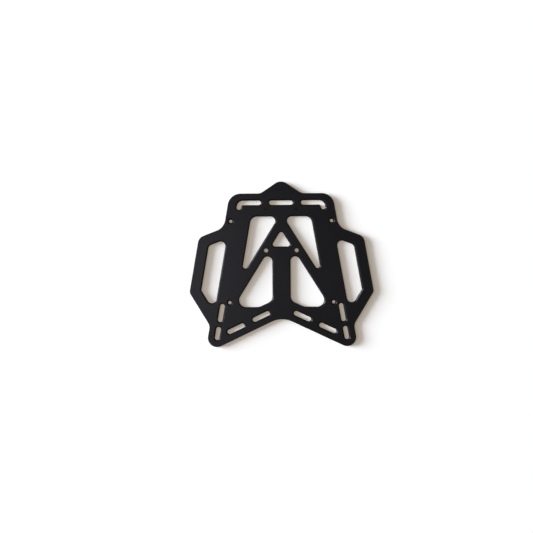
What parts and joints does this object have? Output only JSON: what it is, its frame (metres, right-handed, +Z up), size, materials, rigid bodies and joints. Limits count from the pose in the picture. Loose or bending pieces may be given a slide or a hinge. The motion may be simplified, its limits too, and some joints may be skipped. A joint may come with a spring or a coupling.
{
  "type": "motorcycle luggage rack",
  "caption": "Flat luggage rack plate for a motorcycle's tail, with hand grips, strap slots, windows between diagonal ribs and countersunk mounting holes.",
  "frame": {"origin": "centre of the bounding box, on the flat underside", "axes": "+X across the motorcycle to the right, +Y forwards to the pointed nose, +Z up from the flat underside"},
  "size_m": [0.3004, 0.2698, 0.008],
  "materials": {
    "plate": "satin black anodised"
  },
  "bodies": {
    "root": {"rack_plate": "plate"}
  },
  "joints": []
}
